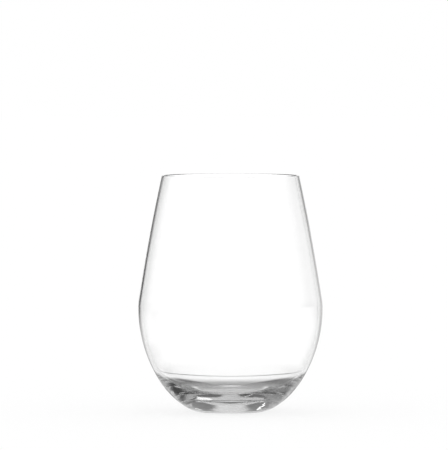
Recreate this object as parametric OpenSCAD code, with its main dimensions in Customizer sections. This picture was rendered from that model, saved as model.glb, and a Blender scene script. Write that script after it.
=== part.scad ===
// Stemless wine glass: a thin wall that tapers in from a low belly, over a heavy solid bottom.
// It stands on the origin, and its axis is Z. Half of its section is drawn flat, with X as the radius
// and Y as the height, and is turned round the axis. Arcs that follow each other share a tangent.

/* [Glass] */
// Height from the foot to the top of the lip
glass_h = 120; // [110:1:135]
// Outer diameter at the lip
rim_d = 69.7; // [64:0.1:76]
// Largest outer diameter, at the belly
belly_d = 93.8; // [88:0.1:100]
// Height of the belly above the foot
belly_z = 53; // [46:0.5:60]
// Thickness of the wall, square to its surface
wall = 1.2; // [0.8:0.1:2]

/* [Outline] */
// Radius of the long bow of the side, from the belly's turn up to the lip
side_r = 1030; // [500:10:2000]
// Radius of the short turn just above the belly
turn_r = 30; // [10:1:40]
// Diameter of the flat foot that the glass stands on
foot_d = 29.6; // [24:0.1:34]
// Radius of the heel, where the bottom rolls up from the foot
heel_r = 13.4; // [10:0.1:16]

/* [Bottom] */
// Thickness of the bottom at its middle
bottom_t = 6.9; // [5:0.1:10]
// Radius of the inner floor's dish
floor_r = 170; // [80:5:400]
// Radius of the inner corner, where the hollow rolls up from its floor
corner_r = 11.2; // [6:0.1:20]
// Radius of the inner shoulder, which carries the corner on up to the wall
shoulder_r = 27.8; // [20:0.1:36]
// Height of the heavy bottom, up to the thin line that crosses the glass
base_h = 20; // [16:0.5:24]

/* [Lip] */
// Height of the lip band, measured down from the top
lip_h = 3; // [2:0.5:6]

/* [Hidden] */
$fn = 180;

// How far the straight steps of an arc may lie inside it
arc_gap = 0.01;
// Angle below level at which the heel hands over to the lower flank
heel_angle = 60;
// How long the upper flank is, as a share of the lower flank
flank_share = 2;
// Angle below level at which the inner corner hands over to the shoulder
corner_angle = 64;

// Directions and angles in the half section
function unit(v) = v / norm(v);
function toward(angle) = [cos(angle), sin(angle)];
function angle_of(v) = atan2(v[1], v[0]);
function left_of(v) = [-v[1], v[0]];

// The way down the outline where it faces n
function down(n) = -left_of(n);

// The point r1 from c1 and r2 from c2, on the left of the way from c1 to c2
function meet(c1, r1, c2, r2) =
    let (span = norm(c2 - c1))
    let (along = (r1 * r1 - r2 * r2 + span * span) / span / 2)
    c1 + along * unit(c2 - c1) + sqrt(r1 * r1 - along * along) * left_of(unit(c2 - c1));

// Radius of the arc that faces n at point p and passes through point q
function arc_r(p, n, q) = (q - p) * (q - p) / (n * (p - q)) / 2;

// Length of the lower end tangent of two joined arcs that face n at point p and m at point q
function low_tangent(p, n, q, m, share) =
    let (square_term = 2 * share * (1 - n * m))
    let (line_term = 2 * (q - p) * (share * down(n) + down(m)))
    (sqrt(line_term * line_term + 4 * square_term * (q - p) * (q - p)) - line_term) / square_term / 2;

// The points of an arc between two angles, without its last one, which starts the next arc
function arc(centre, radius, from, to) =
    let (steps = ceil(abs(to - from) / acos(1 - arc_gap / radius) / 2))
    [for (i = [0 : steps - 1]) centre + radius * toward(from + (to - from) * i / steps)];

// The belly, its turn, and the bow that ends at the lip
belly_p = [belly_d / 2, belly_z];
turn_c = belly_p - [turn_r, 0];
side_c = meet(turn_c, side_r - turn_r, [rim_d / 2, glass_h], side_r);
side_angle = angle_of(turn_c - side_c);

// The heel
heel_c = [foot_d / 2, heel_r];
heel_out = toward(-heel_angle);
heel_p = heel_c + heel_r * heel_out;

// The two flank arcs between the belly and the heel
low_end = low_tangent(belly_p, toward(0), heel_p, heel_out, flank_share);
upper_knee = belly_p + flank_share * low_end * down(toward(0));
lower_knee = heel_p - low_end * down(heel_out);
join_p = (upper_knee + flank_share * lower_knee) / (1 + flank_share);
flank_r = arc_r(belly_p, toward(0), join_p);
flank_c = belly_p - [flank_r, 0];
low_r = arc_r(heel_p, heel_out, join_p);
low_c = heel_p - low_r * heel_out;
join_angle = angle_of(join_p - flank_c);

// The inner floor, the corner that rolls up from it, and the shoulder, which carries the corner on
// and seats on whichever flank arc it meets
floor_c = [0, bottom_t + floor_r];
corner_shift = (shoulder_r - corner_r) * toward(-corner_angle);
low_shoulder_c = meet(floor_c - corner_shift, floor_r - corner_r, low_c, low_r - wall - shoulder_r);
flank_shoulder_c = meet(floor_c - corner_shift, floor_r - corner_r, flank_c, flank_r - wall - shoulder_r);
seats_low = angle_of(low_shoulder_c - low_c) < join_angle;
shoulder_c = seats_low ? low_shoulder_c : flank_shoulder_c;
corner_c = shoulder_c + corner_shift;
seat_angle = angle_of(shoulder_c - (seats_low ? low_c : flank_c));
floor_angle = angle_of(corner_c - floor_c);

// The lip, rounded about the middle of the wall
lip_angle = asin((glass_h - wall / 2 - side_c[1]) / (side_r - wall / 2));
lip_c = side_c + (side_r - wall / 2) * toward(lip_angle);

// The outside, from the foot up to the lip
outside = concat(
    [[0, 0]],
    arc(heel_c, heel_r, -90, -heel_angle),
    arc(low_c, low_r, -heel_angle, join_angle),
    arc(flank_c, flank_r, join_angle, 0),
    arc(turn_c, turn_r, 0, side_angle),
    arc(side_c, side_r, side_angle, lip_angle)
);

// The inside, from the lip down to the floor
inside = concat(
    arc(side_c, side_r - wall, lip_angle, side_angle),
    arc(turn_c, turn_r - wall, side_angle, 0),
    arc(flank_c, flank_r - wall, 0, seats_low ? join_angle : seat_angle),
    seats_low ? arc(low_c, low_r - wall, join_angle, seat_angle) : [],
    arc(shoulder_c, shoulder_r, seat_angle, -corner_angle),
    arc(corner_c, corner_r, -corner_angle, floor_angle),
    arc(floor_c, floor_r, floor_angle, -90),
    [[0, bottom_t]]
);

// The lip, over its top
lip = concat(
    arc(lip_c, wall / 2, lip_angle, 90),
    arc(lip_c, wall / 2, 90, lip_angle + 180)
);

// Half of the whole section
module section() polygon(concat(outside, lip, inside));

// The part of the section above a height
module above(level)
    intersection() {
        section();
        translate([0, level]) square([belly_d, glass_h]);
    }

// What is cut away above a height
module top_off(level) translate([0, level]) square([belly_d, glass_h]);

// The heavy bottom, with the dished floor of the hollow in it
module base()
    color("gainsboro") rotate_extrude() difference() {
        section();
        top_off(base_h);
    }

// The thin wall
module bowl()
    color("aliceblue") rotate_extrude() difference() {
        above(base_h);
        top_off(glass_h - lip_h);
    }

// The lip, rounded all the way over
module rim()
    color("white") rotate_extrude() above(glass_h - lip_h);

base();
bowl();
rim();
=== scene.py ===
import math

import bpy
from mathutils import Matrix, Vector


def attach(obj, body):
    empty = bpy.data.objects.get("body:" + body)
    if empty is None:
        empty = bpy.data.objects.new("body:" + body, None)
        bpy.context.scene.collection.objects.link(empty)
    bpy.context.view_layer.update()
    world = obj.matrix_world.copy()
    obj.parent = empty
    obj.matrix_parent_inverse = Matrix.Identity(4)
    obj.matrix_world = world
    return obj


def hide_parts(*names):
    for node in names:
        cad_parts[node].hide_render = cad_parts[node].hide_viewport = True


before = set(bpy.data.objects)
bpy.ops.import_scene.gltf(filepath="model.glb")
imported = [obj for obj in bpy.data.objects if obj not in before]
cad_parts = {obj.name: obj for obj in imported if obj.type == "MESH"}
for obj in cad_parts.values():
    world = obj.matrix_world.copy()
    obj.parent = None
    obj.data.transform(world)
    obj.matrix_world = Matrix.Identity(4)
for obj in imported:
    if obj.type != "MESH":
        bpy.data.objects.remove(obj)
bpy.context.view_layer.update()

# Sizes of the glass, in metres
GLASS_H = 0.120
RIM_D = 0.0697
BELLY_D = 0.0938
BELLY_Z = 0.053
WALL = 0.0012
SIDE_R = 1.030
TURN_R = 0.030
FOOT_D = 0.0296
HEEL_R = 0.0134
BOTTOM_T = 0.0069
FLOOR_R = 0.170
CORNER_R = 0.0112
SHOULDER_R = 0.0278
HEEL_ANGLE = math.radians(60)
CORNER_ANGLE = math.radians(64)
FLANK_SHARE = 2

# How fine the glass's mesh is
SEGMENTS = 288
ARC_STEP = 0.0005
TURN_STEP = math.radians(3)
FOOT_RINGS = 8
# A point nearer the axis than this is on it
ON_AXIS = 1e-7
# Radii drawn in by this share, so that the round mesh stays in the faceted CAD model's box
DRAW_IN = 0.9996

# The photograph's frame and view
PICTURE = (448, 450)
CAM_DISTANCE = 3.0
CAM_ELEVATION = math.radians(2.112)
PX_PER_M = 1971
AXIS_OFF_PX = 6.5
AIM_Z = 0.0948
SENSOR = 36
CLIP_END = 100

# The clear glass
GLASS_TINT = 0.99
GLASS_IOR = 1.5
GLASS_DENSITY = 9.0
BOUNCES = 24
# The slow waves of its wall, and the level streaks in its heavy bottom, which end at this height
WAVE_SCALE = 38.0
WAVE_DETAIL = 1.5
WAVE_STRENGTH = 0.02
STREAK_FLATNESS = 6.0
STREAK_SCALE = 70.0
STREAK_DETAIL = 2.0
STREAK_STRENGTH = 0.02
STREAK_TOP = (0.010, 0.024)
BUMP_DEPTH = 0.001
# The faint smears of wiping, as roughness
SMEAR_SCALE = 24.0
SMEAR_DETAIL = 3.0
SMEAR_GRAIN = 0.6
SMEAR_SPAN = (0.5, 0.8)
SMEAR_ROUGHNESS = 0.03

# The floor as the camera sees it
FLOOR_REACH = 8.0
FLOOR_Z = -0.0002
FLOOR_COLOUR = 0.15
FLOOR_ROUGHNESS = 0.9
FLOOR_GLOW = 0.83

# The studio as the glass sees it. A brightness of 1 is white. Directions are in degrees from
# straight behind the glass, or above level, and distances on the floor are in millimetres. A pair
# is a span, over which one value blends into the next, or a brightness on the left and the right.
WHITE = (1, 1, 1, 1)
BLACK = (0, 0, 0, 1)
# Millimetres in a metre
MM = 1000
# The left side blends into the right one over this span
SIDES_SPAN = (-12, 12)

# The backdrop and the floor, seen straight through the glass
SKY = 1.15
FLOOR_SKY = 1.21
# The painted shadow on the floor behind the glass, a dim patch. It fades with the distance that a
# ray has come from the glass, and outwards over one span in its middle, one at its sides and one at
# its flanks.
PATCH_SHADE = 0.125
PATCH_GAP = (30, 60)
PATCH_END = (60, 84)
PATCH_MIDDLE = (6, 86)
PATCH_SIDE = (52, 150)
PATCH_FLANK = (0, 135)
PATCH_SIDE_SPAN = (19, 33)
PATCH_FLANK_SPAN = (42, 80)
# The painted shadow on the floor right under the front of the foot, lighter than the patch
FOOT_FRONT_SHADE = 0.45
FOOT_FRONT_SPAN = (70, 110)
FOOT_GAP = (0.8, 2.4)
# The painted shadow line, thin and dark, round the back of the patch, which bends outwards at its
# ends
LINE_R = 105
LINE_BEND = 0.08
LINE_WIDTH = (4, 14)
SHADOW_LINE_MIDDLE = 0.68
SHADOW_LINE_SIDE = 0.25
LINE_SIDE_SPAN = (4, 15)
LINE_END_SPAN = (16, 25)

# The grey walls that reflections see all round
BACK_WALL = 0.27
SIDE_WALLS = (0.53, 0.11)
FRONT_WALL = 0.69
SIDE_WALL_SPAN = (31, 39)
FRONT_WALL_SPAN = (70, 110)
# The lighter skirts low on the side walls, whose top edge climbs away from the back
SKIRTS = (0.55, 0.72)
SKIRT_CLIMB = 0.215
SKIRT_TOP = (-1, 1)
SKIRT_END = (44, 62)
# The dark shadows at the foot of the back wall, which end where the skirts begin
SHADOWS = (0.10, 0.56)
SHADOW_TOP = (0.7, 1.9)
SHADOW_END = (22.5, 25.5)
# The narrow lit strip straight behind, less bright at its foot
STRIP = 1.15
STRIP_FOOT = 0.885
STRIP_FOOT_TOP = (0.5, 2.5)
STRIP_EDGE = (4, 9.5)
# The lit canopy, which hangs lower towards the middle, and the dark over the side walls
CANOPIES = (1.04, 1.12)
CANOPY_CLIMB = 0.53
CANOPY_EDGE = (-1, 3)
CANOPY_END = (30, 51)
DARK_TOP = 0.1
DARK_TOP_SPAN = (24, 31)
# The lamp high on the right
LAMP = 2.1
LAMP_TURN = 24.5
LAMP_RISE = 21.5
LAMP_EDGE = (5, 9)
# The slanted tube low on the left
TUBE = 2.6
TUBE_TURN = -18.7
TUBE_RISE = 3.05
TUBE_SLOPE = 0.534
TUBE_EDGE = (0.2, 0.55)
TUBE_MIDDLE = -15.8
TUBE_END = (3.0, 3.8)

# The floor that reflections see, in painted light and shade: a core, and a ring that changes on its
# way round
CORE = 0.72
CORE_EDGE = (25, 35)
RING_BACK = 1.12
RING_SIDE_SHADE = 0.29
RING_FLANK = 0.80
RING_FRONT_SHADE = 0.10
RING_SIDE_SPAN = (5, 14)
RING_FLANK_SPAN = (40, 60)
RING_FRONT_SPAN = (70, 95)
RING_EDGE = (61, 81)
# Its middle distance, with painted shade at the sides
MIDDLE = 0.945
MIDDLE_SIDE_SHADE = 0.54
MIDDLE_SIDE_SPAN = (8, 14)
MIDDLE_FRONT_SPAN = (24, 40)
# The far floor, which carries on the shadows and the skirts of the walls as painted shade and
# painted light
FAR_SPAN = (200, 1000)
FAR_BACK = 1.0
FAR_FRONT = 0.35
FAR_BACK_EDGE = (9.6, 15.4)
FAR_FRONT_SPAN = (80, 120)


# ---------------------------------------------------------------- the outline of the glass
def toward(angle):
    return Vector((math.cos(angle), math.sin(angle)))


def angle_of(v):
    return math.atan2(v.y, v.x)


def left_of(v):
    return Vector((-v.y, v.x))


def down(n):
    """The way down the outline where it faces n."""
    return -left_of(n)


def meet(c1, r1, c2, r2):
    """The point r1 from c1 and r2 from c2, on the left of the way from c1 to c2."""
    span = (c2 - c1).length
    u = (c2 - c1) / span
    along = (r1 * r1 - r2 * r2 + span * span) / span / 2
    return c1 + u * along + left_of(u) * math.sqrt(r1 * r1 - along * along)


def arc_r(p, n, q):
    """Radius of the arc that faces n at p and passes through q."""
    return (q - p).dot(q - p) / n.dot(p - q) / 2


def low_tangent(p, n, q, m, share):
    """Length of the lower end tangent of two joined arcs that face n at p and m at q."""
    square = 2 * share * (1 - n.dot(m))
    line = 2 * (q - p).dot(down(n) * share + down(m))
    return (math.sqrt(line * line + 4 * square * (q - p).dot(q - p)) - line) / square / 2


def arc(centre, radius, start, end):
    """Points of an arc, without its last one, which starts the next arc."""
    swing = abs(end - start)
    steps = math.ceil(max(swing * radius / ARC_STEP, swing / TURN_STEP, 1))
    return [centre + toward(start + (end - start) * i / steps) * radius for i in range(steps)]


def outline():
    """Half of the section as (radius, height): up the outside, over the lip, down the inside."""
    belly = Vector((BELLY_D / 2, BELLY_Z))
    turn_c = belly - Vector((TURN_R, 0))
    side_c = meet(turn_c, SIDE_R - TURN_R, Vector((RIM_D / 2, GLASS_H)), SIDE_R)
    side_angle = angle_of(turn_c - side_c)
    heel_c = Vector((FOOT_D / 2, HEEL_R))
    heel_out = toward(-HEEL_ANGLE)
    heel_p = heel_c + heel_out * HEEL_R
    low_end = low_tangent(belly, toward(0), heel_p, heel_out, FLANK_SHARE)
    upper_knee = belly + down(toward(0)) * FLANK_SHARE * low_end
    lower_knee = heel_p - down(heel_out) * low_end
    join = (upper_knee + lower_knee * FLANK_SHARE) / (1 + FLANK_SHARE)
    flank_r = arc_r(belly, toward(0), join)
    flank_c = belly - Vector((flank_r, 0))
    low_r = arc_r(heel_p, heel_out, join)
    low_c = heel_p - heel_out * low_r
    join_angle = angle_of(join - flank_c)
    floor_c = Vector((0, BOTTOM_T + FLOOR_R))
    corner_shift = toward(-CORNER_ANGLE) * (SHOULDER_R - CORNER_R)
    shoulder_reach = flank_r - WALL - SHOULDER_R
    shoulder_c = meet(floor_c - corner_shift, FLOOR_R - CORNER_R, flank_c, shoulder_reach)
    corner_c = shoulder_c + corner_shift
    seat_angle = angle_of(shoulder_c - flank_c)
    floor_angle = angle_of(corner_c - floor_c)
    lip_angle = math.asin((GLASS_H - WALL / 2 - side_c.y) / (SIDE_R - WALL / 2))
    lip_c = side_c + toward(lip_angle) * (SIDE_R - WALL / 2)
    right, half_turn = math.pi / 2, math.pi
    foot = [Vector((FOOT_D / 2 * i / FOOT_RINGS, 0)) for i in range(FOOT_RINGS)]
    return (
        foot
        + arc(heel_c, HEEL_R, -right, -HEEL_ANGLE)
        + arc(low_c, low_r, -HEEL_ANGLE, join_angle)
        + arc(flank_c, flank_r, join_angle, 0)
        + arc(turn_c, TURN_R, 0, side_angle)
        + arc(side_c, SIDE_R, side_angle, lip_angle)
        + arc(lip_c, WALL / 2, lip_angle, right)
        + arc(lip_c, WALL / 2, right, lip_angle + half_turn)
        + arc(side_c, SIDE_R - WALL, lip_angle, side_angle)
        + arc(turn_c, TURN_R - WALL, side_angle, 0)
        + arc(flank_c, flank_r - WALL, 0, seat_angle)
        + arc(shoulder_c, SHOULDER_R, seat_angle, -CORNER_ANGLE)
        + arc(corner_c, CORNER_R, -CORNER_ANGLE, floor_angle)
        + arc(floor_c, FLOOR_R, floor_angle, -right)
        + [Vector((0, BOTTOM_T))]
    )


def lathe(name, points):
    """Turns the outline round the Z axis into one closed, smooth mesh."""
    verts, faces, rings = [], [], []
    turns = [2 * math.pi * k / SEGMENTS for k in range(SEGMENTS)]
    for p in points:
        p = Vector((p.x * DRAW_IN, p.y))
        start = len(verts)
        if p.x < ON_AXIS:
            verts.append((0, 0, p.y))
            rings.append([start] * SEGMENTS)
        else:
            verts += [(p.x * math.cos(a), p.x * math.sin(a), p.y) for a in turns]
            rings.append(list(range(start, start + SEGMENTS)))
    for a, b in zip(rings, rings[1:]):
        for k in range(SEGMENTS):
            n = (k + 1) % SEGMENTS
            # A face at the axis has one corner fewer
            faces.append(tuple(dict.fromkeys((a[k], a[n], b[n], b[k]))))
    mesh = bpy.data.meshes.new(name)
    mesh.from_pydata(verts, [], faces)
    mesh.update()
    mesh.shade_smooth()
    piece = bpy.data.objects.new(name, mesh)
    bpy.context.scene.collection.objects.link(piece)
    return piece


# ---------------------------------------------------------------- shader helpers
class Tree:
    """Short calls to add and link nodes."""

    def __init__(self, owner):
        owner.use_nodes = True
        self.tree = owner.node_tree
        self.tree.nodes.clear()

    def add(self, kind, inputs=None, **settings):
        node = self.tree.nodes.new("ShaderNode" + kind)
        for key, value in settings.items():
            setattr(node, key, value)
        for key, value in (inputs or {}).items():
            self.set(node.inputs[key], value)
        return node

    def set(self, socket, value):
        if isinstance(value, bpy.types.NodeSocket):
            self.tree.links.new(value, socket)
        else:
            socket.default_value = value if isinstance(value, tuple) else float(value)

    def math(self, operation, *values):
        node = self.add("Math", operation=operation)
        for socket, value in zip(node.inputs, values):
            self.set(socket, value)
        return node.outputs[0]

    def minus(self, a, b):
        return self.math("SUBTRACT", a, b)

    def times(self, a, b):
        return self.math("MULTIPLY", a, b)

    def ramp(self, value, span, low=0.0, high=1.0):
        """Smooth step from low to high, as value goes over the span."""
        node = self.add("MapRange", interpolation_type="SMOOTHSTEP")
        for socket, x in zip(node.inputs, (value, *span, low, high)):
            self.set(socket, x)
        return node.outputs[0]

    def below(self, value, span):
        """1 below the span, and 0 above it."""
        return self.ramp(value, span, 1.0, 0.0)

    def near(self, value, middle, span):
        """1 where value is near the middle, and 0 where it is further away than the span."""
        return self.below(self.math("ABSOLUTE", self.minus(value, middle)), span)

    def mix(self, factor, a, b):
        node = self.add("Mix", data_type="FLOAT")
        for socket, x in zip((node.inputs[0], node.inputs[2], node.inputs[3]), (factor, a, b)):
            self.set(socket, x)
        return node.outputs[0]

    def bearing(self, x, y):
        """The bearing of (x, y), the same without its sign, and 0 on the left to 1 on the right."""
        around = self.math("DEGREES", self.math("ARCTAN2", x, y))
        return around, self.math("ABSOLUTE", around), self.ramp(around, SIDES_SPAN)


# ---------------------------------------------------------------- glass material
def glass_material():
    mat = bpy.data.materials.new("clear_glass")
    t = Tree(mat)
    where = t.add("TexCoord").outputs["Object"]
    waves = t.add("TexNoise", {"Vector": where, "Scale": WAVE_SCALE, "Detail": WAVE_DETAIL})
    wavy = t.add("Bump", {
        "Height": waves.outputs["Fac"],
        "Strength": WAVE_STRENGTH,
        "Distance": BUMP_DEPTH,
    })
    flat = t.add("Mapping", {"Vector": where, "Scale": (1.0, 1.0, STREAK_FLATNESS)})
    streaks = t.add("TexNoise", {
        "Vector": flat.outputs[0],
        "Scale": STREAK_SCALE,
        "Detail": STREAK_DETAIL,
    })
    height = t.add("SeparateXYZ", {0: where}).outputs[2]
    streaky = t.add("Bump", {
        "Height": streaks.outputs["Fac"],
        "Strength": t.ramp(height, STREAK_TOP, STREAK_STRENGTH, 0.0),
        "Distance": BUMP_DEPTH,
        "Normal": wavy.outputs[0],
    })
    smears = t.add("TexNoise", {
        "Vector": where,
        "Scale": SMEAR_SCALE,
        "Detail": SMEAR_DETAIL,
        "Roughness": SMEAR_GRAIN,
    })
    shader = t.add("BsdfPrincipled", {
        "Base Color": (GLASS_TINT, GLASS_TINT, GLASS_TINT, 1),
        "Roughness": t.ramp(smears.outputs["Fac"], SMEAR_SPAN, 0.0, SMEAR_ROUGHNESS),
        "IOR": GLASS_IOR,
        "Transmission Weight": 1.0,
        "Normal": streaky.outputs[0],
    })
    volume = t.add("VolumeAbsorption", {"Color": BLACK, "Density": GLASS_DENSITY})
    t.add("OutputMaterial", {"Surface": shader.outputs[0], "Volume": volume.outputs[0]})
    return mat


# ---------------------------------------------------------------- studio
def straight_rays(t):
    """1 for rays that reach here without a reflection in or on the glass."""
    return t.math("LESS_THAN", t.add("LightPath").outputs["Glossy Depth"], 0.5)


def studio_world():
    """White to the camera and straight through the glass, and light and dark to reflections."""
    world = bpy.data.worlds.new("studio")
    bpy.context.scene.world = world
    t = Tree(world)
    x, y, z = t.add("SeparateXYZ", {0: t.add("TexCoord").outputs["Generated"]}).outputs
    around, turn, right = t.bearing(x, y)
    rise = t.math("DEGREES", t.math("ARCSINE", z))
    # The walls, with their skirts and shadows
    side_wall = t.ramp(turn, FRONT_WALL_SPAN, t.mix(right, *SIDE_WALLS), FRONT_WALL)
    wall = t.ramp(turn, SIDE_WALL_SPAN, BACK_WALL, side_wall)
    past_shadow = t.ramp(turn, SHADOW_END)
    skirt_high = t.below(t.minus(rise, t.times(turn, SKIRT_CLIMB)), SKIRT_TOP)
    skirt = t.times(t.times(past_shadow, skirt_high), t.below(turn, SKIRT_END))
    wall = t.mix(skirt, wall, t.mix(right, *SKIRTS))
    shadow = t.mix(past_shadow, t.below(rise, SHADOW_TOP), 0.0)
    wall = t.mix(shadow, wall, t.mix(right, *SHADOWS))
    # The strip, the canopy over it and the dark over the side walls
    wall = t.ramp(turn, STRIP_EDGE, t.ramp(rise, STRIP_FOOT_TOP, STRIP_FOOT, STRIP), wall)
    canopy_high = t.minus(rise, t.times(turn, CANOPY_CLIMB))
    behind = t.ramp(canopy_high, CANOPY_EDGE, wall, t.mix(right, *CANOPIES))
    beside = t.ramp(rise, DARK_TOP_SPAN, wall, DARK_TOP)
    studio = t.ramp(turn, CANOPY_END, behind, beside)
    # The lamp and the tube, which light two spots low in the glass
    lamp = t.times(t.near(around, LAMP_TURN, LAMP_EDGE), t.near(rise, LAMP_RISE, LAMP_EDGE))
    studio = t.mix(lamp, studio, LAMP)
    slant = t.times(TUBE_SLOPE, t.minus(around, TUBE_TURN))
    tube = t.near(t.minus(rise, TUBE_RISE), slant, TUBE_EDGE)
    studio = t.mix(t.times(tube, t.near(around, TUBE_MIDDLE, TUBE_END)), studio, TUBE)
    plain = t.mix(t.add("LightPath").outputs["Is Camera Ray"], SKY, 1.0)
    light = t.mix(straight_rays(t), studio, plain)
    back = t.add("Background", {"Color": light})
    t.add("OutputWorld", {"Surface": back.outputs[0]})


def floor_material():
    """Plain to the camera, a dim patch of painted shadow through the glass, and rings of painted
    light and shade to reflections.
    """
    mat = bpy.data.materials.new("pale_floor")
    t = Tree(mat)
    x, y, _ = t.add("SeparateXYZ", {0: t.add("TexCoord").outputs["Object"]}).outputs
    away = t.times(MM, t.math("SQRT", t.math("ADD", t.times(x, x), t.times(y, y))))
    _, turn, right = t.bearing(x, y)
    # Straight rays: the dim patch, a painted shadow
    gap = t.times(MM, t.add("LightPath").outputs["Ray Length"])
    patch_span = [
        t.ramp(turn, PATCH_SIDE_SPAN, middle, t.ramp(turn, PATCH_FLANK_SPAN, side, flank))
        for middle, side, flank in zip(PATCH_MIDDLE, PATCH_SIDE, PATCH_FLANK)
    ]
    shadow_patch = t.ramp(turn, PATCH_END, t.ramp(away, patch_span, PATCH_SHADE), 1.0)
    shade_under_foot = t.ramp(turn, FOOT_FRONT_SPAN, PATCH_SHADE, FOOT_FRONT_SHADE)
    shadow_patch = t.mix(t.below(gap, FOOT_GAP), shadow_patch, shade_under_foot)
    straight = t.times(FLOOR_SKY, t.ramp(gap, PATCH_GAP, shadow_patch))
    # Straight rays: the thin painted shadow line round it
    line_r = t.math("ADD", LINE_R, t.times(LINE_BEND, t.times(turn, turn)))
    line = t.ramp(turn, LINE_SIDE_SPAN, SHADOW_LINE_MIDDLE, t.ramp(turn, LINE_END_SPAN, SHADOW_LINE_SIDE))
    off_line = t.math("ABSOLUTE", t.minus(away, line_r))
    straight = t.times(straight, t.ramp(off_line, LINE_WIDTH, line))
    # Reflected rays: painted light and shade in the core and its ring, the middle distance and the
    # far floor
    ring_flank = t.ramp(turn, RING_FRONT_SPAN, RING_FLANK, RING_FRONT_SHADE)
    ring_side = t.ramp(turn, RING_FLANK_SPAN, RING_SIDE_SHADE, ring_flank)
    ring = t.ramp(away, CORE_EDGE, CORE, t.ramp(turn, RING_SIDE_SPAN, RING_BACK, ring_side))
    middle_side = t.ramp(turn, MIDDLE_FRONT_SPAN, MIDDLE_SIDE_SHADE, MIDDLE)
    middle = t.ramp(turn, MIDDLE_SIDE_SPAN, MIDDLE, middle_side)
    far_side = t.ramp(turn, FAR_FRONT_SPAN, t.mix(right, *SKIRTS), FAR_FRONT)
    far_side = t.ramp(turn, SHADOW_END, t.mix(right, *SHADOWS), far_side)
    far = t.ramp(turn, FAR_BACK_EDGE, FAR_BACK, far_side)
    reflected = t.ramp(away, FAR_SPAN, t.ramp(away, RING_EDGE, ring, middle), far)
    light = t.mix(straight_rays(t), reflected, straight)
    seen = t.add("Emission", {"Color": WHITE, "Strength": light})
    plain = t.add("BsdfPrincipled", {
        "Base Color": (FLOOR_COLOUR, FLOOR_COLOUR, FLOOR_COLOUR, 1),
        "Roughness": FLOOR_ROUGHNESS,
        "Specular IOR Level": 0.0,
        "Emission Color": WHITE,
        "Emission Strength": FLOOR_GLOW,
    })
    path = t.add("LightPath")
    by_glass = t.math("MAXIMUM", path.outputs["Is Transmission Ray"], path.outputs["Is Glossy Ray"])
    shader = t.add("MixShader", {0: by_glass, 1: plain.outputs[0], 2: seen.outputs[0]})
    t.add("OutputMaterial", {"Surface": shader.outputs[0]})
    return mat


def floor():
    mesh = bpy.data.meshes.new("floor")
    signs = ((-1, -1), (1, -1), (1, 1), (-1, 1))
    corners = [(x * FLOOR_REACH, y * FLOOR_REACH, FLOOR_Z) for x, y in signs]
    mesh.from_pydata(corners, [], [(0, 1, 2, 3)])
    mesh.materials.append(floor_material())
    piece = bpy.data.objects.new("floor", mesh)
    bpy.context.scene.collection.objects.link(piece)


def camera():
    lens = bpy.data.cameras.new("camera")
    lens.sensor_width = SENSOR
    lens.lens = SENSOR * PX_PER_M * CAM_DISTANCE / max(PICTURE)
    lens.clip_end = CLIP_END
    piece = bpy.data.objects.new("camera", lens)
    bpy.context.scene.collection.objects.link(piece)
    aim = Vector((-AXIS_OFF_PX / PX_PER_M, 0, AIM_Z))
    back = Vector((0, -math.cos(CAM_ELEVATION), math.sin(CAM_ELEVATION)))
    piece.location = aim + back * CAM_DISTANCE
    piece.rotation_euler = (math.pi / 2 - CAM_ELEVATION, 0, 0)
    bpy.context.scene.camera = piece


# ---------------------------------------------------------------- build
glass = lathe("glass", outline())
glass.data.materials.append(glass_material())
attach(glass, "root")
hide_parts("base", "bowl", "rim")

camera()
floor()
studio_world()

scene = bpy.context.scene
scene.view_settings.view_transform = "Standard"
scene.cycles.max_bounces = BOUNCES
scene.cycles.transmission_bounces = BOUNCES
scene.cycles.glossy_bounces = BOUNCES
